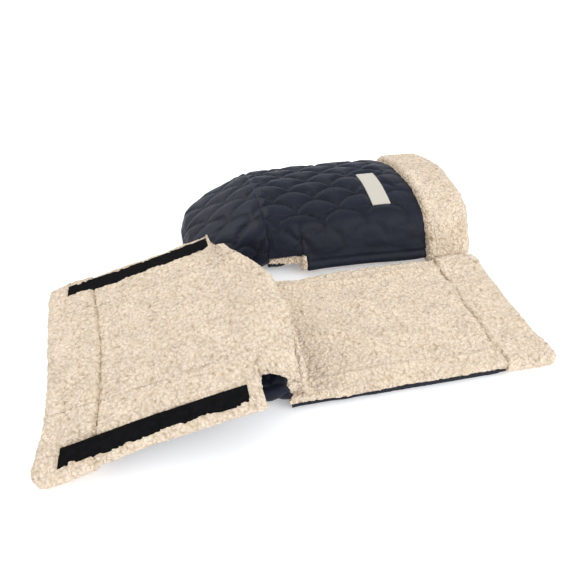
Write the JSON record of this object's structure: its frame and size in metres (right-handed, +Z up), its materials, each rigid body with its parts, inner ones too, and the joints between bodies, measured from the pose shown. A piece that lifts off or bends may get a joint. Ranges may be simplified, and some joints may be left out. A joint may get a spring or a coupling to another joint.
{
  "type": "hand warmer muff",
  "caption": "Quilted pram-handle hand mitts lined in curly pile, shown closed and laid open, with folding upper panels, side flaps and touch-fastener strips.",
  "frame": {"origin": "centre of the pair's footprint on the floor", "axes": "+X along the mitts towards the cuffs of the lower panels, +Y from the opened mitt to the closed mitt, +Z up"},
  "size_m": [0.4322, 0.3936, 0.0713],
  "materials": {
    "quilted_nylon": "satin quilted nylon",
    "sherpa": "curly sherpa pile",
    "wadding": "bonded polyester wadding",
    "touch_fastener": "matt hook and loop tape",
    "woven_label": "woven satin tape, blank"
  },
  "bodies": {
    "open_mitt_base": {"open_mitt_toe_shell": "quilted_nylon", "open_mitt_toe_wadding": "wadding", "open_mitt_toe_lining": "sherpa", "open_mitt_lower_shell": "quilted_nylon", "open_mitt_lower_wadding": "wadding", "open_mitt_lower_lining": "sherpa", "open_mitt_lower_cuff": "sherpa", "open_mitt_loop_strip_front": "touch_fastener", "open_mitt_loop_strip_rear": "touch_fastener"},
    "open_mitt_upper_panel": {"open_mitt_upper_shell": "quilted_nylon", "open_mitt_upper_wadding": "wadding", "open_mitt_upper_lining": "sherpa", "open_mitt_upper_cuff": "sherpa", "open_mitt_woven_label": "woven_label", "open_mitt_slot_edging_front": "sherpa", "open_mitt_slot_edging_rear": "sherpa"},
    "open_mitt_front_flap": {"open_mitt_front_flap_shell": "quilted_nylon", "open_mitt_front_flap_wadding": "wadding", "open_mitt_front_flap_lining": "sherpa", "open_mitt_front_flap_cuff": "sherpa", "open_mitt_front_hook_strip": "touch_fastener"},
    "open_mitt_rear_flap": {"open_mitt_rear_flap_shell": "quilted_nylon", "open_mitt_rear_flap_wadding": "wadding", "open_mitt_rear_flap_lining": "sherpa", "open_mitt_rear_flap_cuff": "sherpa", "open_mitt_rear_hook_strip": "touch_fastener"},
    "closed_mitt_base": {"closed_mitt_toe_shell": "quilted_nylon", "closed_mitt_toe_wadding": "wadding", "closed_mitt_toe_lining": "sherpa", "closed_mitt_lower_shell": "quilted_nylon", "closed_mitt_lower_wadding": "wadding", "closed_mitt_lower_lining": "sherpa", "closed_mitt_lower_cuff": "sherpa", "closed_mitt_loop_strip_front": "touch_fastener", "closed_mitt_loop_strip_rear": "touch_fastener"},
    "closed_mitt_upper_panel": {"closed_mitt_upper_shell": "quilted_nylon", "closed_mitt_upper_wadding": "wadding", "closed_mitt_upper_lining": "sherpa", "closed_mitt_upper_cuff": "sherpa", "closed_mitt_woven_label": "woven_label", "closed_mitt_slot_edging_front": "sherpa", "closed_mitt_slot_edging_rear": "sherpa"},
    "closed_mitt_front_flap": {"closed_mitt_front_flap_shell": "quilted_nylon", "closed_mitt_front_flap_wadding": "wadding", "closed_mitt_front_flap_lining": "sherpa", "closed_mitt_front_flap_cuff": "sherpa", "closed_mitt_front_hook_strip": "touch_fastener"},
    "closed_mitt_rear_flap": {"closed_mitt_rear_flap_shell": "quilted_nylon", "closed_mitt_rear_flap_wadding": "wadding", "closed_mitt_rear_flap_lining": "sherpa", "closed_mitt_rear_flap_cuff": "sherpa", "closed_mitt_rear_hook_strip": "touch_fastener"}
  },
  "joints": [
    {"name": "open_mitt_fold", "type": "hinge", "parent": "open_mitt_base", "child": "open_mitt_upper_panel", "pos_m": [-0.00194, -0.08482, 0.06], "axis": [0, 1, 0], "range_deg": [0, 195.1]},
    {"name": "open_mitt_front_flap_fold", "type": "hinge", "parent": "open_mitt_upper_panel", "child": "open_mitt_front_flap", "pos_m": [-0.09849, -0.15982, 0.03395], "axis": [-0.9655, 0, -0.2605], "range_deg": [0, 60]},
    {"name": "open_mitt_rear_flap_fold", "type": "hinge", "parent": "open_mitt_upper_panel", "child": "open_mitt_rear_flap", "pos_m": [-0.09849, -0.00982, 0.03395], "axis": [0.9655, 0, 0.2605], "range_deg": [0, 60]},
    {"name": "closed_mitt_apart", "type": "slide", "parent": "open_mitt_base", "child": "closed_mitt_base", "axis": [0, 1, 0], "range_m": [0, 0.1]},
    {"name": "closed_mitt_fold", "type": "hinge", "parent": "closed_mitt_base", "child": "closed_mitt_upper_panel", "pos_m": [-0.00194, 0.10618, 0.06], "axis": [0, -1, 0], "range_deg": [0, 180]},
    {"name": "closed_mitt_front_flap_fold", "type": "hinge", "parent": "closed_mitt_upper_panel", "child": "closed_mitt_front_flap", "pos_m": [0.09806, 0.03218, 0.05], "axis": [-1, 0, 0], "range_deg": [0, 60]},
    {"name": "closed_mitt_rear_flap_fold", "type": "hinge", "parent": "closed_mitt_upper_panel", "child": "closed_mitt_rear_flap", "pos_m": [0.09806, 0.18018, 0.05], "axis": [1, 0, 0], "range_deg": [0, 60]}
  ],
  "couplings": [
    {"joint": "open_mitt_front_flap_fold", "follows": "open_mitt_fold", "ratio": 0.30753},
    {"joint": "open_mitt_rear_flap_fold", "follows": "open_mitt_fold", "ratio": 0.30753},
    {"joint": "closed_mitt_front_flap_fold", "follows": "closed_mitt_fold", "ratio": 0.33333},
    {"joint": "closed_mitt_rear_flap_fold", "follows": "closed_mitt_fold", "ratio": 0.33333}
  ]
}
